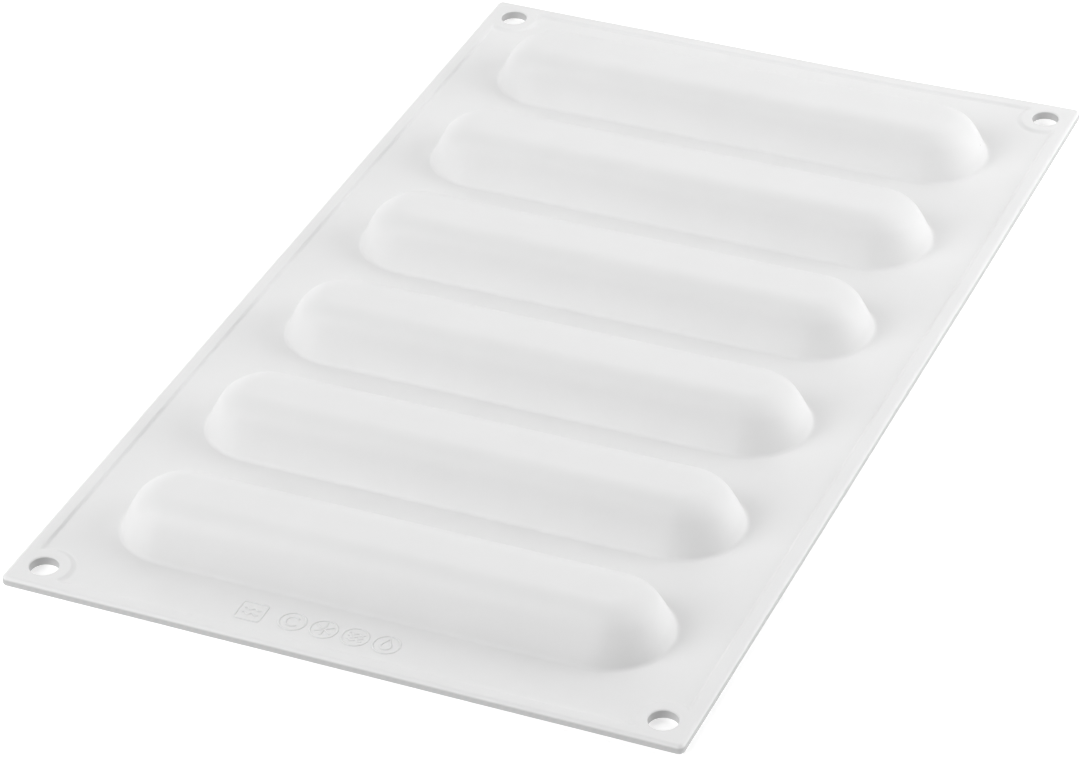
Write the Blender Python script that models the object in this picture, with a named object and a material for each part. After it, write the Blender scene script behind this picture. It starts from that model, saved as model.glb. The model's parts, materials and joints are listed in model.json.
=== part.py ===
"""Silicone baguette tray: one flexible moulding with six loaf troughs, in metres.

The tray lies with its troughs upward and their open mouths on the surface below.
+X runs along the troughs, +Y along the row of troughs, +Z up.
The origin is at the middle of the underside.

The moulding is split into its regions: shells, webs, rim lengths and corner eyelets.
Each trough, with its own web and rim lengths, makes one strip.
The strips fold against each other along the middle of the thin webs.
"""

import math

import bmesh
import bpy

# Sheet
TRAY_LENGTH = 0.300
TRAY_WIDTH = 0.175
WEB_THICKNESS = 0.0019
RIM_THICKNESS = 0.0025
RIM_WIDTH = 0.0037
RIM_EDGE_RADIUS = 0.0009

# Troughs, measured on their outer skin above the web
TROUGH_COUNT = 6
TROUGH_PITCH = 0.046
TROUGH_LENGTH = 0.1424
TROUGH_WIDTH = 0.0314
TROUGH_RISE = 0.0121
FLANK_ANGLE = math.radians(62)
SHOULDER_RADIUS = 0.0080
FOOT_RADIUS = 0.0015
TROUGH_WALL = 0.0019
MOUTH_RADIUS = 0.0008

# Corner eyelets
EYELET_INSET = 0.0078
EYELET_RADIUS = 0.0068
EYELET_HOLE_RADIUS = 0.0036
CORNER_RADIUS = 0.0016
CORNER_REACH = 0.0150

# Clearances: between regions that are fused in the moulding, and across each bend line
SEAM_GAP = 0.0003
BEND_SLIT = 0.0013
BEND_HEIGHT = RIM_THICKNESS / 2

# Fineness of the curves
CAP_STEPS = 10
SHOULDER_STEPS = 5
FOOT_STEPS = 3
MOUTH_STEPS = 2
HOLE_STEPS = 24
BOSS_STEPS = 8
CORNER_STEPS = 3
RIM_EDGE_STEPS = 2

SILICONE_WHITE = (0.80, 0.81, 0.82, 1.0)
SILICONE_ROUGHNESS = 0.55

ROOT_STRIP = 3
HALF_LENGTH = TRAY_LENGTH / 2
HALF_WIDTH = TRAY_WIDTH / 2
STRIP_HALF = TROUGH_PITCH / 2
END_MARGIN = HALF_LENGTH - (TROUGH_COUNT - 1) * STRIP_HALF
TOE_RADIUS = TROUGH_WIDTH / 2 + FOOT_RADIUS * math.tan(FLANK_ANGLE / 2)
CAP_CENTRE = TROUGH_LENGTH / 2 - TROUGH_WIDTH / 2


def clear_scene():
    for thing in list(bpy.data.objects):
        bpy.data.objects.remove(thing)


def make_collection(name):
    collection = bpy.data.collections.new(name)
    bpy.context.scene.collection.children.link(collection)
    return collection


def make_silicone(name):
    material = bpy.data.materials.new(name)
    material.use_nodes = True
    shader = material.node_tree.nodes["Principled BSDF"]
    shader.inputs["Base Color"].default_value = SILICONE_WHITE
    shader.inputs["Roughness"].default_value = SILICONE_ROUGHNESS
    shader.inputs["Metallic"].default_value = 0.0
    return material


def arc(centre, radius, start, end, steps):
    """Points along an arc in degrees, both ends included."""
    points = []
    for step in range(steps + 1):
        angle = math.radians(start + (end - start) * step / steps)
        points.append((centre[0] + radius * math.cos(angle), centre[1] + radius * math.sin(angle)))
    return points


def stadium(radius):
    """The outline of a trough at one height: two half circles joined by straight sides."""
    right = arc((CAP_CENTRE, 0.0), radius, -90, 90, CAP_STEPS)
    left = arc((-CAP_CENTRE, 0.0), radius, 90, 270, CAP_STEPS)
    return right + left


def mesh_from(name, bm):
    bmesh.ops.recalc_face_normals(bm, faces=bm.faces)
    mesh = bpy.data.meshes.new(name)
    bm.to_mesh(mesh)
    bm.free()
    mesh.shade_smooth()
    mesh.set_sharp_from_angle(angle=math.radians(35))
    return mesh


def flat_solid(name, loops, thickness):
    """A flat piece standing on z = 0: its outline first, then any holes in it."""
    curve = bpy.data.curves.new(name, "CURVE")
    curve.dimensions = "2D"
    curve.fill_mode = "BOTH"
    curve.extrude = thickness / 2
    for loop in loops:
        spline = curve.splines.new("POLY")
        spline.points.add(len(loop) - 1)
        for point, (x, y) in zip(spline.points, loop):
            point.co = (x, y, 0.0, 1.0)
        spline.use_cyclic_u = True
    guide = bpy.data.objects.new(name, curve)
    bpy.context.scene.collection.objects.link(guide)
    bpy.context.view_layer.update()
    filled = bpy.data.meshes.new_from_object(guide.evaluated_get(bpy.context.evaluated_depsgraph_get()))
    bpy.data.objects.remove(guide)
    bm = bmesh.new()
    bm.from_mesh(filled)
    bpy.data.meshes.remove(filled)
    bmesh.ops.remove_doubles(bm, verts=bm.verts, dist=1e-6)
    bmesh.ops.translate(bm, verts=bm.verts, vec=(0.0, 0.0, thickness / 2))
    return bm


def round_outer_edge(bm, is_outer):
    """Round the top edges that lie on the tray's own outline."""
    top = [e for e in bm.edges if all(v.co.z > RIM_THICKNESS * 0.99 and is_outer(v.co) for v in e.verts)]
    top = [e for e in top if any(abs(f.normal.z) < 0.5 for f in e.link_faces)]
    bmesh.ops.bevel(bm, geom=top, offset=RIM_EDGE_RADIUS, segments=RIM_EDGE_STEPS, profile=0.5,
                    affect="EDGES", clamp_overlap=True)


def hat_profile(width, rise, shoulder, base, foot):
    """Half of a loaf section, from its flat crown down its flank, as (radius, height) points."""
    corner = width / 2 - rise / math.tan(FLANK_ANGLE)
    crown = corner - shoulder * math.tan(FLANK_ANGLE / 2)
    points = arc((crown, base + rise - shoulder), shoulder, 90, 90 - math.degrees(FLANK_ANGLE), SHOULDER_STEPS)
    return points + foot


def trough_section():
    """The closed wall section of a trough: outer skin, toe, then the inner skin back up."""
    toe_angle = math.degrees(FLANK_ANGLE)
    foot = arc((TOE_RADIUS, WEB_THICKNESS + FOOT_RADIUS), FOOT_RADIUS, 270 - toe_angle, 270, FOOT_STEPS)
    outer = hat_profile(TROUGH_WIDTH, TROUGH_RISE, SHOULDER_RADIUS, WEB_THICKNESS, foot)
    inner_width = TROUGH_WIDTH + 2 * (WEB_THICKNESS / math.tan(FLANK_ANGLE) - TROUGH_WALL / math.sin(FLANK_ANGLE))
    inner_rise = WEB_THICKNESS + TROUGH_RISE - TROUGH_WALL
    mouth_radius = inner_width / 2 + MOUTH_RADIUS * math.tan(FLANK_ANGLE / 2)
    mouth = arc((mouth_radius, MOUTH_RADIUS), MOUTH_RADIUS, 270 - toe_angle, 270, MOUTH_STEPS)
    inner = hat_profile(inner_width, inner_rise, SHOULDER_RADIUS - TROUGH_WALL, 0.0, mouth)
    return outer + [(TOE_RADIUS, 0.0)] + inner[::-1]


def trough_mesh():
    """A loft of stadium outlines through the wall section, closed by the crown's two faces."""
    bm = bmesh.new()
    rings = []
    for radius, height in trough_section():
        rings.append([bm.verts.new((x, y, height)) for x, y in stadium(radius)])
    for lower, upper in zip(rings, rings[1:]):
        for k in range(len(lower)):
            after = (k + 1) % len(lower)
            bm.faces.new((lower[k], lower[after], upper[after], upper[k]))
    bm.faces.new(rings[0])
    bm.faces.new(rings[-1])
    return mesh_from("trough", bm)


def eyelet_notch(half_x, end_y, side):
    """The curved cut that an eyelet makes in the web's corner, for side +1 (right) or -1."""
    radius = EYELET_RADIUS + SEAM_GAP
    reach = math.sqrt(radius ** 2 - (EYELET_INSET - RIM_WIDTH - SEAM_GAP) ** 2)
    low = math.degrees(math.atan2(-reach, half_x - (HALF_WIDTH - EYELET_INSET)))
    high = math.degrees(math.atan2(end_y - (END_MARGIN - EYELET_INSET), -reach))
    points = arc((HALF_WIDTH - EYELET_INSET, END_MARGIN - EYELET_INSET), radius, low, high - 360, BOSS_STEPS)
    if side > 0:
        return points
    return [(-x, y) for x, y in points[::-1]]


def web_mesh(is_end):
    """The sheet round one trough. An end strip's sheet reaches the rim and bends round two eyelets."""
    half_x = HALF_WIDTH - RIM_WIDTH - SEAM_GAP
    low_y = -STRIP_HALF + BEND_SLIT / 2
    high_y = STRIP_HALF - BEND_SLIT / 2
    outline = [(-half_x, low_y), (half_x, low_y)]
    if is_end:
        high_y = END_MARGIN - RIM_WIDTH - SEAM_GAP
        outline += eyelet_notch(half_x, high_y, 1) + eyelet_notch(half_x, high_y, -1)
    else:
        outline += [(half_x, high_y), (-half_x, high_y)]
    bm = flat_solid("web", [outline, stadium(TOE_RADIUS + SEAM_GAP)], WEB_THICKNESS)
    return mesh_from("web", bm)


def rim_bar_mesh(name, low, high, is_outer):
    """A straight length of rim between two corners (x, y), with its outer top edge rounded."""
    bm = bmesh.new()
    bmesh.ops.create_cube(bm, size=1.0)
    size = (high[0] - low[0], high[1] - low[1], RIM_THICKNESS)
    middle = ((high[0] + low[0]) / 2, (high[1] + low[1]) / 2, RIM_THICKNESS / 2)
    bmesh.ops.scale(bm, verts=bm.verts, vec=size)
    bmesh.ops.translate(bm, verts=bm.verts, vec=middle)
    round_outer_edge(bm, is_outer)
    return mesh_from(name, bm)


def corner_eyelet_mesh():
    """The thick right-hand corner of an end strip, with its boss and hole."""
    inset = EYELET_INSET
    across = math.sqrt(EYELET_RADIUS ** 2 - (inset - RIM_WIDTH) ** 2)
    angle = math.degrees(math.atan2(-(inset - RIM_WIDTH), across))
    boss = arc((inset, inset), EYELET_RADIUS, angle, 90 - angle, BOSS_STEPS)
    corner = arc((CORNER_RADIUS, CORNER_RADIUS), CORNER_RADIUS, 180, 270, CORNER_STEPS)
    outline = corner + [(CORNER_REACH, 0.0), (CORNER_REACH, RIM_WIDTH)] + boss
    outline += [(RIM_WIDTH, CORNER_REACH), (0.0, CORNER_REACH)]
    hole = arc((inset, inset), EYELET_HOLE_RADIUS, 0, 360, HOLE_STEPS)[:-1]
    loops = [[(HALF_WIDTH - u, END_MARGIN - v) for u, v in loop] for loop in (outline, hole)]
    bm = flat_solid("corner_eyelet", loops, RIM_THICKNESS)
    return mesh_from("corner_eyelet", bm)


def mirrored_mesh(mesh, name):
    bm = bmesh.new()
    bm.from_mesh(mesh)
    bmesh.ops.scale(bm, verts=bm.verts, vec=(-1.0, 1.0, 1.0))
    return mesh_from(name, bm)


def side_rim_mesh(is_end, side):
    low_y = -STRIP_HALF + BEND_SLIT / 2
    high_y = STRIP_HALF - BEND_SLIT / 2
    if is_end:
        high_y = END_MARGIN - CORNER_REACH - SEAM_GAP
    bounds = sorted((side * HALF_WIDTH, side * (HALF_WIDTH - RIM_WIDTH)))
    return rim_bar_mesh("side_rim", (bounds[0], low_y), (bounds[1], high_y),
                        lambda co: co.x * side > HALF_WIDTH * 0.999)


def end_rim_mesh():
    half_x = HALF_WIDTH - CORNER_REACH - SEAM_GAP
    return rim_bar_mesh("end_rim", (-half_x, END_MARGIN - RIM_WIDTH), (half_x, END_MARGIN),
                        lambda co: co.y > END_MARGIN * 0.999)


def trough_centre(number):
    return (number - (TROUGH_COUNT + 1) / 2) * TROUGH_PITCH


def bend_line(number):
    """Where a strip folds on the strip nearer the root, which itself stays put."""
    if number == ROOT_STRIP:
        return trough_centre(number)
    toward_root = STRIP_HALF if number < ROOT_STRIP else -STRIP_HALF
    return trough_centre(number) + toward_root


def make_bend_axes(collection):
    """One empty per strip, on its bend line, each a child of the strip that it folds on."""
    axes = {}
    order = sorted(range(1, TROUGH_COUNT + 1), key=lambda number: abs(number - ROOT_STRIP))
    for number in order:
        axis = bpy.data.objects.new(f"strip_{number}_axis", None)
        axis.empty_display_size = STRIP_HALF / 2
        collection.objects.link(axis)
        axis.location = (0.0, bend_line(number), BEND_HEIGHT)
        if number != ROOT_STRIP:
            nearer = number + 1 if number < ROOT_STRIP else number - 1
            axis.parent = axes[nearer]
            axis.location = (0.0, bend_line(number) - bend_line(nearer), 0.0)
        axes[number] = axis
    return axes


def add_piece(collection, axes, number, name, mesh, material):
    """A piece of one strip. The front strip is the back strip's mesh, turned half a turn."""
    piece = bpy.data.objects.new(name, mesh)
    collection.objects.link(piece)
    if not mesh.materials:
        mesh.materials.append(material)
    piece.parent = axes[number]
    piece.location = (0.0, trough_centre(number) - bend_line(number), -BEND_HEIGHT)
    if number == 1:
        piece.rotation_euler = (0.0, 0.0, math.pi)
    return piece


def build_tray():
    collection = make_collection("silicone_baguette_tray")
    axes = make_bend_axes(collection)
    trough_silicone = make_silicone("trough_silicone")
    web_silicone = make_silicone("web_silicone")
    rim_silicone = make_silicone("rim_silicone")
    eyelet_silicone = make_silicone("eyelet_silicone")

    trough = trough_mesh()
    webs = {is_end: web_mesh(is_end) for is_end in (False, True)}
    rims = {(is_end, side): side_rim_mesh(is_end, side) for is_end in (False, True) for side in (-1, 1)}
    for number in range(1, TROUGH_COUNT + 1):
        is_end = number in (1, TROUGH_COUNT)
        turned = -1 if number == 1 else 1
        add_piece(collection, axes, number, f"trough_{number}", trough, trough_silicone)
        add_piece(collection, axes, number, f"web_{number}", webs[is_end], web_silicone)
        for label, side in (("left", -turned), ("right", turned)):
            add_piece(collection, axes, number, f"rim_{label}_{number}", rims[is_end, side], rim_silicone)

    end_rim = end_rim_mesh()
    right_eyelet = corner_eyelet_mesh()
    left_eyelet = mirrored_mesh(right_eyelet, "corner_eyelet_mirrored")
    for label, number, left, right in (("front", 1, right_eyelet, left_eyelet),
                                       ("back", TROUGH_COUNT, left_eyelet, right_eyelet)):
        add_piece(collection, axes, number, f"rim_{label}", end_rim, rim_silicone)
        add_piece(collection, axes, number, f"corner_eyelet_{label}_left", left, eyelet_silicone)
        add_piece(collection, axes, number, f"corner_eyelet_{label}_right", right, eyelet_silicone)


clear_scene()
build_tray()
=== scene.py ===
"""The looks of the silicone baguette tray: one smooth moulded skin over the CAD's six strips.

Each strip has a skin of its own, and a narrow web skin spans each joint between two
strips. Their edges meet exactly, so the tray reads as one moulding at rest.
"""

import json
import math

import bmesh
import bpy
from mathutils import Matrix, Vector, noise
from mathutils.geometry import delaunay_2d_cdt

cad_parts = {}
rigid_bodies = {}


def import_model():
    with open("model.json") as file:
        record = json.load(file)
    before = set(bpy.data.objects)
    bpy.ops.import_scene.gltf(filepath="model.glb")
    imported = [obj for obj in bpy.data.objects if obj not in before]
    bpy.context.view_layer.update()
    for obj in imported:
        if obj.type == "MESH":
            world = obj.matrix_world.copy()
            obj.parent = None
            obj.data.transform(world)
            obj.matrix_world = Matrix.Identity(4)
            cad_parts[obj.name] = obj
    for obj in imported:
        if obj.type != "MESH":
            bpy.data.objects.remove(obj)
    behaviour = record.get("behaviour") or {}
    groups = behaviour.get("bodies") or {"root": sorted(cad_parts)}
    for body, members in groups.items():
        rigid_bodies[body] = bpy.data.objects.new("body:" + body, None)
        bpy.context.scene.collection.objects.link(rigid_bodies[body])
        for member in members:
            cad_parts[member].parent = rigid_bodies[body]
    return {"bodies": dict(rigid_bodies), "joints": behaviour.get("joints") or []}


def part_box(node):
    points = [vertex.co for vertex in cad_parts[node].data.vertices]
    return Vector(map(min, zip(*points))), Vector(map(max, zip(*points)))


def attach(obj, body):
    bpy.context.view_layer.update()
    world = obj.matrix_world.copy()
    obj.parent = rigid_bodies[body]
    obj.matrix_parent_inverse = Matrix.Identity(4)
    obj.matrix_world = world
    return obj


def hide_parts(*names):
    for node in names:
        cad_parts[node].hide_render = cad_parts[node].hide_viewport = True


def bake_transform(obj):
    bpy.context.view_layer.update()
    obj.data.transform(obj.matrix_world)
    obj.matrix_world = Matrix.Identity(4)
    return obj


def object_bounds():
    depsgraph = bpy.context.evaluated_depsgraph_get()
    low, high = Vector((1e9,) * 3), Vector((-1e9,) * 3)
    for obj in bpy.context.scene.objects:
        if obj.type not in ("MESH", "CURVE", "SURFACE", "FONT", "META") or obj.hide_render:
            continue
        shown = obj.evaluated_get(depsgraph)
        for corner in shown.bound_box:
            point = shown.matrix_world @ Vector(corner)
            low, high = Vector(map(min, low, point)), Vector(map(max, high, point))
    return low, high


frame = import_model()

CAD_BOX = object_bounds()

MM = 0.001
STRIPS = len(frame["bodies"])

# Places and sizes that the frame gives
HALF_WIDTH = CAD_BOX[1].x
HALF_LENGTH = CAD_BOX[1].y
CROWN_Z = CAD_BOX[1].z
WEB_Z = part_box("web_1")[1].z
RIM_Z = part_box("rim_left_1")[1].z
TROUGH_LOW, TROUGH_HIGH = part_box("trough_1")
TOE_RADIUS = (TROUGH_HIGH.y - TROUGH_LOW.y) / 2
CAP_CENTRE = (TROUGH_HIGH.x - TROUGH_LOW.x) / 2 - TOE_RADIUS
BENDS = sorted(joint["pos_m"][1] for joint in frame["joints"])

# The moulding's own form, as in the CAD
FLANK = math.radians(62)
SHOULDER_RADIUS = 8.0 * MM
FOOT_RADIUS = 1.5 * MM
WALL = 1.9 * MM
MOUTH_RADIUS = 0.8 * MM
CORNER_RADIUS = 1.6 * MM
HOLE_INSET = 7.8 * MM
HOLE_RADIUS = 3.6 * MM

# Finer form that only the looks need
CROWN_DOME = 0.35 * MM
CAP_BULGE = 0.75 * MM
TOP_EDGE = 1.0 * MM
BOTTOM_EDGE = 0.35 * MM
HOLE_TOP_EDGE = 0.35 * MM
HOLE_BOTTOM_EDGE = 0.2 * MM
RIM_STEP_AT = 3.9 * MM
RIM_STEP_WIDTH = 1.0 * MM
BOSS_STEP_AT = 7.0 * MM
BOSS_STEP_WIDTH = 1.6 * MM
BEND_HALF = 4.0 * MM

# How the soft sheet lies: its back right corner lifts, and it is faintly uneven
CORNER_LIFT = 1.0 * MM
LIFT_FROM = 1.35
RIPPLE = 0.08 * MM
RIPPLE_LENGTH = 24 * MM

# Care marks
RIDGE_RADIUS = 0.28 * MM
RIDGE_PROUD = 0.22 * MM
MARK_RADIUS = 3.3 * MM
MARK_CORNER = 0.8 * MM
MARK_PITCH = 8.1 * MM
MARK_Y = -139.5 * MM
FIRST_RING_X = -15.1 * MM
BOX_X = -25.9 * MM
WAVE_RISE = 0.35 * MM

# Silicone. The grey on upright faces is painted shade. UPRIGHT is the up part of a normal where that
# painted shade is full, and where it ends
PALE = (0.875, 0.875, 0.875, 1)
PALE_DIM = (0.835, 0.835, 0.835, 1)
DUST = (0.56, 0.55, 0.54, 1)
# Painted shade: a flat grey on the upright cut edges and hole walls
EDGE_PAINTED_SHADE = (0.53, 0.53, 0.53, 1)
UPRIGHT = (0.12, 0.40)
SPECK_SIZE = 0.035
SPECK_SHARE = 0.16
SPECK_SCALE = 120.0
CLOUD_SCALE = 70.0
CLOUD_DEPTH = 0.06 * MM
GRAIN_SCALE = 1100.0
GRAIN_DEPTH = 0.01 * MM
SATIN = (0.44, 0.58)

# Studio. The boxes are a soft light's distance and size
EYE = Vector((0.3765, -0.8832, 0.6377))
TARGET = Vector((-0.00185, -0.02212, 0.0))
ROLL = math.radians(-1.243)
LENS = 149.05
SENSOR_WIDTH = 36.0
FLOOR_SIZE = 40.0
FLOOR_DROP = 0.2 * MM
FLOOR_GLOW = 0.34
HORIZON_BAND = (0.08, 0.12)
HORIZON_GLOW = 0.65
ROOM_GLOW = 0.21
FAR_BOX = (2.2, 1.2)
NEAR_BOX = (0.8, 0.7)

# Mesh fineness
CAP_STEPS = 40
SIDE_STEPS = 24
SHOULDER_STEPS = 14
FOOT_STEPS = 10
HOLE_STEPS = 96
CORNER_STEPS = 8
BEND_STEPS = 16
RIDGE_SIDES = 10
RING_STEPS = 48
WAVE_STEPS = 18
STATION = 4.0 * MM
SHARP = math.radians(40)

# Rings and lines of vertices on the flat parts, and how far they keep from each other
FIRST_CROWN_RING = 1.5 * MM
FLAT_RINGS = (0.3 * MM, 0.8 * MM)
LINES_BEFORE_STEP = (1.8 * MM, 2.6 * MM)
LINES_PAST_STEP = (5.4 * MM, 7.2 * MM)
RINGS_PAST_BOSS = (8.0 * MM, 8.6 * MM)
RINGS_UNDER_BOSS = (1.0 * MM, 2.5 * MM)
BOSS_ZONE = 9.2 * MM
CLEAR_OF_EDGE = 0.25 * MM
CLEAR_OF_LIP = 0.7 * MM
CLEAR_OF_STEP = 0.4 * MM
CLEAR_OF_TOE = 2.0 * MM
CLEAR_OF_RIM = 1.5 * MM
CLEAR_OF_BOSS = 0.6 * MM


def trough_centre(number):
    low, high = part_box(f"trough_{number}")
    return (low.y + high.y) / 2


def arc(centre, radius, start, end, steps):
    """Points along an arc in degrees, both ends included."""
    turns = [math.radians(start + (end - start) * k / steps) for k in range(steps + 1)]
    return [(centre[0] + radius * math.cos(a), centre[1] + radius * math.sin(a)) for a in turns]


def between(low, high, steps):
    return [low + (high - low) * k / steps for k in range(steps + 1)]


def smooth(value, low, high):
    """From 0 at low to 1 at high, level at both ends."""
    t = min(1.0, max(0.0, (value - low) / (high - low)))
    return t * t * (3 - 2 * t)


def round_drop(distance, radius):
    """How far a rounded edge falls at a distance in from its outline."""
    if distance >= radius:
        return 0.0
    return radius - math.sqrt(max(0.0, radius ** 2 - (radius - distance) ** 2))


# ---------------------------------------------------------------- the form of the moulding

def edge_distance(x, y):
    """How far a point lies in from the tray's rounded outline."""
    across = HALF_WIDTH - abs(x)
    along = HALF_LENGTH - abs(y)
    if across < CORNER_RADIUS and along < CORNER_RADIUS:
        return CORNER_RADIUS - math.hypot(CORNER_RADIUS - across, CORNER_RADIUS - along)
    return min(across, along)


def hole_distance(x, y):
    return math.hypot(abs(x) - (HALF_WIDTH - HOLE_INSET), abs(y) - (HALF_LENGTH - HOLE_INSET))


def top_height(x, y):
    """The sheet's upper side outside the troughs: web, rim, bosses and rounded edges."""
    inset = edge_distance(x, y)
    from_hole = hole_distance(x, y)
    rim = 1 - smooth(inset, RIM_STEP_AT - RIM_STEP_WIDTH / 2, RIM_STEP_AT + RIM_STEP_WIDTH / 2)
    boss = 1 - smooth(
        from_hole, BOSS_STEP_AT - BOSS_STEP_WIDTH / 2, BOSS_STEP_AT + BOSS_STEP_WIDTH / 2)
    raised = 1 - (1 - rim) * (1 - boss)
    drop = round_drop(inset, TOP_EDGE) + round_drop(from_hole - HOLE_RADIUS, HOLE_TOP_EDGE)
    return WEB_Z + (RIM_Z - WEB_Z) * raised - drop


def bottom_height(x, y):
    """The sheet's underside: flat, but for its rounded edges."""
    inset = edge_distance(x, y)
    from_hole = hole_distance(x, y)
    return round_drop(inset, BOTTOM_EDGE) + round_drop(from_hole - HOLE_RADIUS, HOLE_BOTTOM_EDGE)


def settled(x, y, z):
    """The moulded point as the soft sheet really lies: a lifted corner and a faint unevenness."""
    lift = CORNER_LIFT * smooth(x / HALF_WIDTH + y / HALF_LENGTH, LIFT_FROM, 2.0)
    ripple = RIPPLE * noise.noise(Vector((x, y, 0.0)) / RIPPLE_LENGTH)
    return Vector((x, y, z + lift + ripple))


def flank(last, first):
    """Three points on the straight flank between the shoulder's end and the fillet's start."""
    run, fall = first[0] - last[0], first[1] - last[1]
    return [(last[0] + run * t, last[1] + fall * t) for t in (0.25, 0.5, 0.75)]


def loaf_section(half_width, rise, shoulder, foot, base):
    """Half a loaf's section as (radius, height), from near its middle down to its toe."""
    corner = half_width - rise / math.tan(FLANK)
    crown = corner - shoulder * math.tan(FLANK / 2)
    toe = half_width + foot * math.tan(FLANK / 2)
    bend = math.degrees(FLANK)
    points = [(r, base + rise) for r in between(FIRST_CROWN_RING, crown, 3)[:-1]]
    points += arc((crown, base + rise - shoulder), shoulder, 90, 90 - bend, SHOULDER_STEPS)
    fillet = arc((toe, base + foot), foot, 270 - bend, 270, FOOT_STEPS)
    points += flank(points[-1], fillet[0]) + fillet
    domed = []
    for radius, height in points:
        share = (height - base) / rise
        sag = CROWN_DOME * share * (1 - math.cos(math.pi * min(radius / half_width, 1.0))) / 2
        domed.append((radius, height - sag))
    return domed + [(toe + width, base) for width in FLAT_RINGS]


def cap_bulge(height, base, crown):
    """How far the caps swell outward, most at half height, so that their ends look rounder."""
    share = (height - base) / (crown - base)
    return CAP_BULGE * math.sin(math.pi * min(max(share, 0.0), 1.0))


def outer_section():
    half_width = TOE_RADIUS - FOOT_RADIUS * math.tan(FLANK / 2)
    return loaf_section(half_width, CROWN_Z - WEB_Z, SHOULDER_RADIUS, FOOT_RADIUS, WEB_Z)


def inner_section():
    outer_half = TOE_RADIUS - FOOT_RADIUS * math.tan(FLANK / 2)
    half_width = outer_half + WEB_Z / math.tan(FLANK) - WALL / math.sin(FLANK)
    return loaf_section(half_width, CROWN_Z - WALL, SHOULDER_RADIUS - WALL, MOUTH_RADIUS, 0.0)


def stadium(radius, centre_y, bulge=0.0):
    """A trough's outline at one height, from its right cap round to its front side."""
    cap = CAP_CENTRE + bulge
    right = arc((cap, centre_y), radius, -90, 90, CAP_STEPS)
    left = arc((-cap, centre_y), radius, 90, 270, CAP_STEPS)
    xs = between(cap, -cap, SIDE_STEPS)[1:-1]
    back = [(x, centre_y + radius) for x in xs]
    front = [(x, centre_y - radius) for x in xs[::-1]]
    return right + back + left + front


# ---------------------------------------------------------------- stations and lines

def edge_rings(radius, turns):
    """Distances in from an outline, over a rounded edge, at the turns in degrees."""
    return [radius * (1 - math.cos(math.radians(turn))) for turn in turns]


def rim_insets():
    """Distances in from the outline at which the sheet's upper side bends."""
    edge = edge_rings(TOP_EDGE, range(0, 91, 15))
    step = between(RIM_STEP_AT - RIM_STEP_WIDTH / 2, RIM_STEP_AT + RIM_STEP_WIDTH / 2, 8)
    return [*edge, *LINES_BEFORE_STEP, *step, *LINES_PAST_STEP]


INSETS = rim_insets()


def across_stations():
    """x values of the vertices along every cut across the tray."""
    middle = HALF_WIDTH - INSETS[-1]
    steps = 2 * round(middle / (STATION * 1.2))
    side = [HALF_WIDTH - inset for inset in INSETS[:-1]]
    return [-x for x in side] + between(-middle, middle, steps) + side[::-1]


def along_stations(low, high):
    return between(low, high, max(2, round((high - low) / STATION)))


class Plan:
    """A flat layout of points and lines, which a Delaunay triangulation fills."""

    def __init__(self):
        self.points = []
        self.lookup = {}
        self.lines = []

    def add(self, x, y):
        key = (round(x * 1e7), round(y * 1e7))
        if key not in self.lookup:
            self.lookup[key] = len(self.points)
            self.points.append((x, y))
        return self.lookup[key]

    def line(self, points, closed=False):
        ids = [self.add(*p) for p in points]
        pairs = list(zip(ids, ids[1:])) + ([(ids[-1], ids[0])] if closed else [])
        self.lines += [pair for pair in pairs if pair[0] != pair[1]]
        return ids

    def triangles(self, openings):
        """Every triangle of three points, apart from those that span an opening's outline."""
        coords = [Vector(p) for p in self.points]
        found = delaunay_2d_cdt(coords, self.lines, [], 0, 1e-8)
        points, faces, origins = found[0], found[2], found[3]
        names = [ids[0] if ids else self.add(*points[k]) for k, ids in enumerate(origins)]
        spans = [set(ids) for ids in openings]
        kept = []
        for face in faces:
            corners = [names[k] for k in face]
            if not any(span.issuperset(corners) for span in spans):
                kept.append(corners)
        return kept


def outline(low, high, end):
    """A strip's outline, anticlockwise: end is 0 for a middle strip, -1 front, +1 back."""
    xs = across_stations()
    if end == 0:
        ys = along_stations(low, high)
        loop = [(x, low) for x in xs] + [(HALF_WIDTH, y) for y in ys[1:]]
        loop += [(x, high) for x in xs[::-1][1:]]
        return loop + [(-HALF_WIDTH, y) for y in ys[::-1][1:-1]]
    cut = low if end > 0 else high
    return [(x, cut) for x in xs] + inset_line(0.0, cut, end)[1:-1]


def inset_line(inset, cut, end):
    """The U-shaped line at one distance in from an end strip's three outer sides."""
    half_x = HALF_WIDTH - inset
    turn = max(CORNER_RADIUS - inset, 0.0)
    corner_x = HALF_WIDTH - max(CORNER_RADIUS, inset)
    corner_y = HALF_LENGTH - max(CORNER_RADIUS, inset)
    ys = along_stations(end * cut, HALF_LENGTH - CORNER_RADIUS)[:-1]
    straight = HALF_WIDTH - CORNER_RADIUS
    xs = between(straight, -straight, round(HALF_WIDTH * 2 / STATION))[1:-1]
    right = [(half_x, y) for y in ys] + arc((corner_x, corner_y), turn, 0, 90, CORNER_STEPS)
    left = arc((-corner_x, corner_y), turn, 90, 180, CORNER_STEPS) + [(-half_x, y) for y in ys[::-1]]
    middle = [(x, HALF_LENGTH - inset) for x in xs if abs(x) < corner_x]
    return [(x, end * y) for x, y in right + middle + left]


def runs(points, keep):
    """Splits a line into the stretches whose points are kept."""
    found, current = [], []
    for p in points:
        if keep(*p):
            current.append(p)
        elif current:
            found.append(current)
            current = []
    return found + ([current] if current else [])


# ---------------------------------------------------------------- building a strip's skin

def hole_centres(end):
    x, y = HALF_WIDTH - HOLE_INSET, HALF_LENGTH - HOLE_INSET
    return [(side * x, end * y) for side in (-1, 1)]


def circle(centre, radius, steps=HOLE_STEPS):
    return arc(centre, radius, 0, 360, steps)[:-1]


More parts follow.
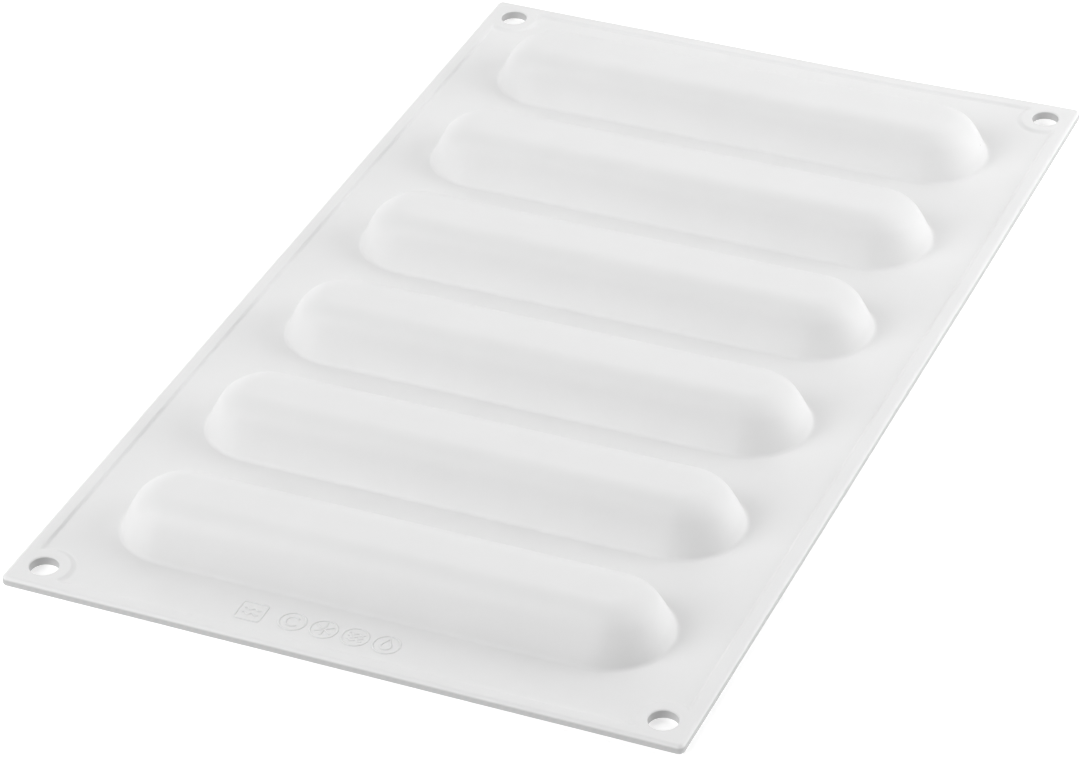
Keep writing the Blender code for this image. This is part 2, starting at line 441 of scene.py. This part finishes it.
def boss_radii(top):
    """Radii round a hole at which the sheet bends, on its upper side or its underside."""
    if top:
        lip = [HOLE_RADIUS + ring for ring in edge_rings(HOLE_TOP_EDGE, range(0, 91, 18))]
        step = between(BOSS_STEP_AT - BOSS_STEP_WIDTH / 2, BOSS_STEP_AT + BOSS_STEP_WIDTH / 2, 9)
        flat = between(HOLE_RADIUS + CLEAR_OF_LIP, step[0] - CLEAR_OF_STEP, 4)
        return [*lip, *flat, *step, *RINGS_PAST_BOSS]
    lip = [HOLE_RADIUS + ring for ring in edge_rings(HOLE_BOTTOM_EDGE, range(0, 91, 30))]
    return lip + [HOLE_RADIUS + ring for ring in RINGS_UNDER_BOSS]


def add_hole(plan, centre, top):
    """A hole's outline, and the rings round it that keep clear of the sheet's rounded edge."""
    radii = boss_radii(top)
    clear = max(TOP_EDGE, BOTTOM_EDGE) + CLEAR_OF_EDGE
    hole = plan.line(circle(centre, radii[0]), closed=True)
    for radius in radii[1:]:
        for run in runs(circle(centre, radius), lambda x, y: edge_distance(x, y) > clear):
            plan.line(run)
    return hole


def add_inset(plan, inset, low, high, end):
    """The lines at one distance in from the outline. Past the rounded edge they avoid the bosses."""
    if end:
        lines = [inset_line(inset, low if end > 0 else high, end)]
    else:
        ys = along_stations(low, high)
        lines = [[(side * (HALF_WIDTH - inset), y) for y in ys] for side in (-1, 1)]
    for line in lines:
        if end and inset > TOP_EDGE:
            for run in runs(line, lambda x, y: hole_distance(x, y) > BOSS_ZONE):
                plan.line(run)
        else:
            plan.line(line)


def add_fill(plan, low, high, end, centre_y):
    """Points over the flat sheet, clear of the trough, the rim and the bosses."""
    for x in across_stations()[len(INSETS):-len(INSETS)]:
        for y in along_stations(low, high)[1:-1]:
            to_axis = math.hypot(max(abs(x) - CAP_CENTRE, 0.0), y - centre_y)
            off_trough = to_axis > TOE_RADIUS + CLEAR_OF_TOE
            off_rim = edge_distance(x, y) > INSETS[-1] + CLEAR_OF_RIM
            off_boss = not end or hole_distance(x, y) > BOSS_ZONE + CLEAR_OF_BOSS
            if off_trough and off_rim and off_boss:
                plan.add(x, y)


def sheet_plan(centre_y, low, high, end, opening, top):
    """The layout of one side of a strip's flat sheet, round the trough's opening."""
    plan = Plan()
    loop = plan.line(outline(low, high, end), closed=True)
    mouth = plan.line(opening, closed=True)
    insets = INSETS if top else edge_rings(BOTTOM_EDGE, (0, 30, 60, 90))
    holes = [add_hole(plan, centre, top) for centre in hole_centres(end)] if end else []
    for inset in insets[1:]:
        add_inset(plan, inset, low, high, end)
    add_fill(plan, low, high, end, centre_y)
    return plan, loop, mouth, holes


def loft(bm, rings):
    for inner, outer in zip(rings, rings[1:]):
        for k in range(len(inner)):
            after = (k + 1) % len(inner)
            bm.faces.new((inner[k], outer[k], outer[after], inner[after]))


def close_crown(bm, ring):
    """Joins the two long sides of the innermost outline, from the right tip to the left one."""
    half = len(ring) // 2
    tip = CAP_STEPS // 2
    back = [ring[tip + k] for k in range(half + 1)]
    front = [ring[(tip - k) % len(ring)] for k in range(half + 1)]
    for k in range(half):
        corners = [back[k], back[k + 1], front[k + 1], front[k]]
        corners = [v for i, v in enumerate(corners) if v not in corners[:i]]
        bm.faces.new(corners)


def sheet_side(bm, centre_y, low, high, end, section, height, top):
    """One side of a strip: its trough, lofted from outlines, and the flat sheet round it."""
    opening = stadium(section[-1][0], centre_y)
    plan, loop, mouth, holes = sheet_plan(centre_y, low, high, end, opening, top)
    made = {}

    def vertex(number):
        if number not in made:
            x, y = plan.points[number]
            made[number] = bm.verts.new((x, y, height(x, y)))
        return made[number]

    for corners in plan.triangles([mouth] + holes):
        bm.faces.new([vertex(k) for k in corners])
    rings = []
    for radius, z in section[:-1]:
        bulge = cap_bulge(z, section[-1][1], section[0][1])
        rings.append([bm.verts.new((x, y, z)) for x, y in stadium(radius, centre_y, bulge)])
    rings.append([vertex(k) for k in mouth])
    loft(bm, rings)
    close_crown(bm, rings[0])
    return [vertex(k) for k in loop], [[vertex(k) for k in hole] for hole in holes]


def join_loops(bm, above, below):
    for k in range(len(above)):
        after = (k + 1) % len(above)
        bm.faces.new((above[k], below[k], below[after], above[after]))


def store_painted_edge_shade(mesh):
    """Keeps how upright the skin is at each point of the moulded shape, from 0 to 1, as the mask of
    the painted shade on upright faces.
    """
    wear = mesh.attributes.new("wear", "FLOAT", "POINT")
    for vertex in mesh.vertices:
        wear.data[vertex.index].value = 1 - smooth(abs(vertex.normal.z), *UPRIGHT)


def finished_piece(name, bm, material):
    """Turns a closed skin into a smooth-shaded piece of silicone, lying as the sheet lies."""
    for v in bm.verts:
        v.co = settled(*v.co)
    bmesh.ops.recalc_face_normals(bm, faces=bm.faces)
    mesh = bpy.data.meshes.new(name)
    bm.to_mesh(mesh)
    bm.free()
    store_painted_edge_shade(mesh)
    mesh.shade_smooth()
    mesh.set_sharp_from_angle(angle=SHARP)
    mesh.materials.append(material)
    piece = bpy.data.objects.new(name, mesh)
    bpy.context.scene.collection.objects.link(piece)
    return piece


def strip_skin(number, material):
    low = -HALF_LENGTH if number == 1 else BENDS[number - 2] + BEND_HALF
    high = HALF_LENGTH if number == STRIPS else BENDS[number - 1] - BEND_HALF
    end = -1 if number == 1 else 1 if number == STRIPS else 0
    centre = trough_centre(number)
    bm = bmesh.new()
    top = sheet_side(bm, centre, low, high, end, outer_section(), top_height, True)
    bottom = sheet_side(bm, centre, low, high, end, inner_section(), bottom_height, False)
    join_loops(bm, top[0], bottom[0])
    for above, below in zip(top[1], bottom[1]):
        join_loops(bm, above, below)
    piece = finished_piece(f"silicone_strip_{number}", bm, material)
    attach(piece, f"strip_{number}")
    nodes = [f"trough_{number}", f"web_{number}", f"rim_left_{number}", f"rim_right_{number}"]
    if end:
        place = "front" if end < 0 else "back"
        nodes += [f"rim_{place}", f"corner_eyelet_{place}_left", f"corner_eyelet_{place}_right"]
    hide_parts(*nodes)


def web_skin(number, material):
    """The narrow web skin between strip number and the next one, across their joint."""
    bend = BENDS[number - 1]
    xs = across_stations()
    ys = between(bend - BEND_HALF, bend + BEND_HALF, BEND_STEPS)
    bm = bmesh.new()
    top = [[bm.verts.new((x, y, top_height(x, y))) for x in xs] for y in ys]
    bottom = [[bm.verts.new((x, y, bottom_height(x, y))) for x in xs] for y in ys]
    for rows in (top, bottom):
        for near, far in zip(rows, rows[1:]):
            for k in range(len(xs) - 1):
                bm.faces.new((near[k], near[k + 1], far[k + 1], far[k]))
    around = border(len(ys), len(xs))
    join_loops(bm, [top[r][c] for r, c in around], [bottom[r][c] for r, c in around])
    piece = finished_piece(f"silicone_web_{number}_{number + 1}", bm, material)
    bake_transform(piece)


def border(rows, columns):
    """The grid places round the edge of a grid, in order."""
    near = [(0, c) for c in range(columns)]
    right = [(r, columns - 1) for r in range(1, rows)]
    far = [(rows - 1, c) for c in range(columns - 2, -1, -1)]
    left = [(r, 0) for r in range(rows - 2, 0, -1)]
    return near + right + far + left


# ---------------------------------------------------------------- care marks

def ridge(bm, points, closed=False):
    """A round-topped line standing a little proud of the web, along points in the tray's plane."""
    rings = []
    count = len(points)
    for k, (x, y) in enumerate(points):
        before = points[(k - 1) % count] if closed or k else points[0]
        after = points[(k + 1) % count] if closed or k < count - 1 else points[-1]
        run = Vector((after[0] - before[0], after[1] - before[1])).normalized()
        ring = []
        for turn in range(RIDGE_SIDES):
            angle = 2 * math.pi * turn / RIDGE_SIDES
            side = RIDGE_RADIUS * math.cos(angle)
            up = WEB_Z + RIDGE_PROUD - RIDGE_RADIUS + RIDGE_RADIUS * math.sin(angle)
            ring.append(bm.verts.new((x - run.y * side, y + run.x * side, up)))
        rings.append(ring)
    joins = list(zip(rings, rings[1:])) + ([(rings[-1], rings[0])] if closed else [])
    for ring, following in joins:
        join_loops(bm, ring, following)
    if not closed:
        bm.faces.new(rings[0])
        bm.faces.new(rings[-1])


def ring_mark(bm, centre):
    ridge(bm, circle(centre, MARK_RADIUS, RING_STEPS), closed=True)


def wave(centre, offset, length):
    """A level wavy line."""
    xs = between(-length / 2, length / 2, WAVE_STEPS)
    rises = [WAVE_RISE * math.sin(4 * math.pi * x / length) for x in xs]
    return [(centre[0] + x, centre[1] + offset + rise) for x, rise in zip(xs, rises)]


def box_mark(bm, centre):
    """A square frame round two waves, for washing."""
    reach = MARK_RADIUS - MARK_CORNER
    square = []
    for side, end, start in ((1, -1, -90), (1, 1, 0), (-1, 1, 90), (-1, -1, 180)):
        corner = (centre[0] + side * reach, centre[1] + end * reach)
        square += arc(corner, MARK_CORNER, start, start + 90, 4)
    ridge(bm, square, closed=True)
    for offset in (-0.9 * MM, 0.9 * MM):
        ridge(bm, wave(centre, offset, 4.2 * MM))


def snow_mark(bm, centre):
    """A ring round a six-armed star, for freezing."""
    ring_mark(bm, centre)
    for turn in range(6):
        angle = math.radians(60 * turn + 30)
        out_x, out_y = math.cos(angle), math.sin(angle)
        ridge(bm, [(centre[0] + out_x * r, centre[1] + out_y * r) for r in (0.35 * MM, 2.4 * MM)])


def heat_mark(bm, centre):
    """A ring round three waves, for the oven."""
    ring_mark(bm, centre)
    for offset in (-1.2 * MM, 0.0, 1.2 * MM):
        ridge(bm, wave(centre, offset, 4.0 * MM))


def dial_mark(bm, centre):
    """A ring round a smaller open ring, for the dishwasher's turning arm."""
    ring_mark(bm, centre)
    ridge(bm, arc(centre, 1.7 * MM, 40, 320, 20))


def drop_mark(bm, centre):
    """A ring round a drop."""
    ring_mark(bm, centre)
    bulb = arc((centre[0], centre[1] - 0.5 * MM), 1.3 * MM, -210, 30, 18)
    ridge(bm, bulb + [(centre[0], centre[1] + 2.2 * MM)], closed=True)


def care_marks(material):
    """Five plain raised marks on the front margin, with no lettering."""
    bm = bmesh.new()
    box_mark(bm, (BOX_X, MARK_Y))
    for k, mark in enumerate((dial_mark, snow_mark, heat_mark, drop_mark)):
        mark(bm, (FIRST_RING_X + k * MARK_PITCH, MARK_Y))
    piece = finished_piece("care_marks", bm, material)
    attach(piece, "strip_1")


# ---------------------------------------------------------------- material

def node(tree, kind, inputs, **settings):
    """Adds a node with its settings, and links or sets its inputs."""
    made = tree.nodes.new(kind)
    for name, value in settings.items():
        setattr(made, name, value)
    for name, value in inputs.items():
        if isinstance(value, bpy.types.NodeSocket):
            tree.links.new(value, made.inputs[name])
        else:
            made.inputs[name].default_value = value
    return made


def mixed(tree, factor, first, second):
    """A colour between the two, each of them a link or a plain colour."""
    inputs = {"Factor": factor, "A": first, "B": second}
    return node(tree, "ShaderNodeMix", inputs, data_type="RGBA").outputs["Result"]


def joined(tree, operation, first, second):
    """The result of one sum or test on two numbers, each of them a link or a plain number."""
    return node(tree, "ShaderNodeMath", {0: first, 1: second}, operation=operation).outputs[0]


def dust(tree, place):
    """1 on a few small round specks, 0 elsewhere."""
    cells = node(tree, "ShaderNodeTexVoronoi", {"Vector": place, "Scale": SPECK_SCALE})
    near = joined(tree, "LESS_THAN", cells.outputs["Distance"], SPECK_SIZE)
    picked = joined(tree, "LESS_THAN", cells.outputs["Color"], SPECK_SHARE)
    return joined(tree, "MULTIPLY", near, picked)


def silicone_colour(tree, place, cloud):
    """Pale mottling and dust, with painted shade: greyer on the upright cut edges."""
    mottle = mixed(tree, cloud, PALE_DIM, PALE)
    dusty = mixed(tree, dust(tree, place), mottle, DUST)
    # The grey on upright faces is painted shade, masked by how upright the skin is
    wear = node(tree, "ShaderNodeAttribute", {}, attribute_name="wear").outputs["Fac"]
    return mixed(tree, wear, dusty, EDGE_PAINTED_SHADE)


def silicone_relief(tree, place, cloud):
    """The skin's slight unevenness with a fine grain on it, as a normal."""
    grain = node(tree, "ShaderNodeTexNoise", {"Vector": place, "Scale": GRAIN_SCALE, "Detail": 2.0})
    uneven = node(tree, "ShaderNodeBump", {"Height": cloud, "Strength": 1.0, "Distance": CLOUD_DEPTH})
    fine = node(tree, "ShaderNodeBump", {
        "Height": grain.outputs["Fac"],
        "Strength": 1.0,
        "Distance": GRAIN_DEPTH,
        "Normal": uneven.outputs["Normal"],
    })
    return fine.outputs["Normal"]


def silicone_material():
    """Matt white silicone: faint mottling, a satin skin, a fine grain, a few specks of dust and
    painted shade on its upright faces.
    """
    material = bpy.data.materials.new("silicone")
    material.use_nodes = True
    tree = material.node_tree
    shader = tree.nodes["Principled BSDF"]
    place = tree.nodes.new("ShaderNodeTexCoord").outputs["Object"]
    noise_inputs = {"Vector": place, "Scale": CLOUD_SCALE, "Detail": 4.0}
    cloud = node(tree, "ShaderNodeTexNoise", noise_inputs).outputs["Fac"]
    satin = {"Value": cloud, "To Min": SATIN[0], "To Max": SATIN[1]}
    rough = node(tree, "ShaderNodeMapRange", satin).outputs["Result"]
    tree.links.new(silicone_colour(tree, place, cloud), shader.inputs["Base Color"])
    tree.links.new(rough, shader.inputs["Roughness"])
    tree.links.new(silicone_relief(tree, place, cloud), shader.inputs["Normal"])
    return material


# ---------------------------------------------------------------- studio

def add_camera():
    data = bpy.data.cameras.new("camera")
    data.lens = LENS
    data.sensor_width = SENSOR_WIDTH
    data.clip_start = 0.05
    data.clip_end = 20
    camera = bpy.data.objects.new("camera", data)
    bpy.context.scene.collection.objects.link(camera)
    aim = (TARGET - EYE).to_track_quat("-Z", "Y").to_matrix().to_4x4()
    camera.matrix_world = Matrix.Translation(EYE) @ aim @ Matrix.Rotation(ROLL, 4, "Z")
    bpy.context.scene.camera = camera


def add_floor():
    """A plain white table with a faint glow, so that it stays pale right up to the tray."""
    bpy.ops.mesh.primitive_plane_add(size=FLOOR_SIZE, location=(0.0, 0.0, -FLOOR_DROP))
    floor = bpy.context.object
    floor.name = "studio_floor"
    material = bpy.data.materials.new("studio_floor")
    material.use_nodes = True
    shader = material.node_tree.nodes["Principled BSDF"]
    shader.inputs["Base Color"].default_value = (0.92, 0.92, 0.92, 1)
    shader.inputs["Roughness"].default_value = 0.9
    shader.inputs["Emission Color"].default_value = (1, 1, 1, 1)
    shader.inputs["Emission Strength"].default_value = FLOOR_GLOW
    floor.data.materials.append(material)


def add_softbox(name, azimuth, elevation, distance, size, power):
    """A square soft light aimed at the tray. Azimuth 0 is the tray's front, 90 its right side."""
    data = bpy.data.lights.new(name, "AREA")
    data.shape = "SQUARE"
    data.size = size
    data.energy = power
    light = bpy.data.objects.new(name, data)
    bpy.context.scene.collection.objects.link(light)
    turn, tilt = math.radians(azimuth), math.radians(elevation)
    out = Vector((math.cos(tilt) * math.sin(turn), -math.cos(tilt) * math.cos(turn), math.sin(tilt)))
    light.location = out * distance
    light.rotation_euler = (-out).to_track_quat("-Z", "Y").to_euler()
    light.visible_camera = False


def soft_surround(tree):
    """A dim pale room, brighter just above the horizon."""
    background = tree.nodes["Background"]
    background.inputs["Color"].default_value = (1, 1, 1, 1)
    way = tree.nodes.new("ShaderNodeTexCoord").outputs["Generated"]
    split = node(tree, "ShaderNodeSeparateXYZ", {"Vector": way})
    glow = node(tree, "ShaderNodeMapRange", {
        "Value": split.outputs["Z"],
        "From Min": HORIZON_BAND[0],
        "From Max": HORIZON_BAND[1],
        "To Min": HORIZON_GLOW,
        "To Max": ROOM_GLOW,
    })
    tree.links.new(glow.outputs["Result"], background.inputs["Strength"])


def add_lights():
    world = bpy.data.worlds.new("studio")
    bpy.context.scene.world = world
    world.use_nodes = True
    soft_surround(world.node_tree)
    bpy.context.scene.view_settings.view_transform = "Standard"
    add_softbox("front_left_far", 315, 35, *FAR_BOX, 12.3)
    add_softbox("back_left_far", 225, 12, *FAR_BOX, 6.4)
    add_softbox("front_left", 315, 45, *NEAR_BOX, 2.38)
    add_softbox("right", 112, 22, *NEAR_BOX, 3.95)
    add_softbox("back", 180, 45, *NEAR_BOX, 1.93)


add_camera()
add_lights()
add_floor()
silicone = silicone_material()
for number in range(1, STRIPS + 1):
    strip_skin(number, silicone)
for number in range(1, STRIPS):
    web_skin(number, silicone)
care_marks(silicone)
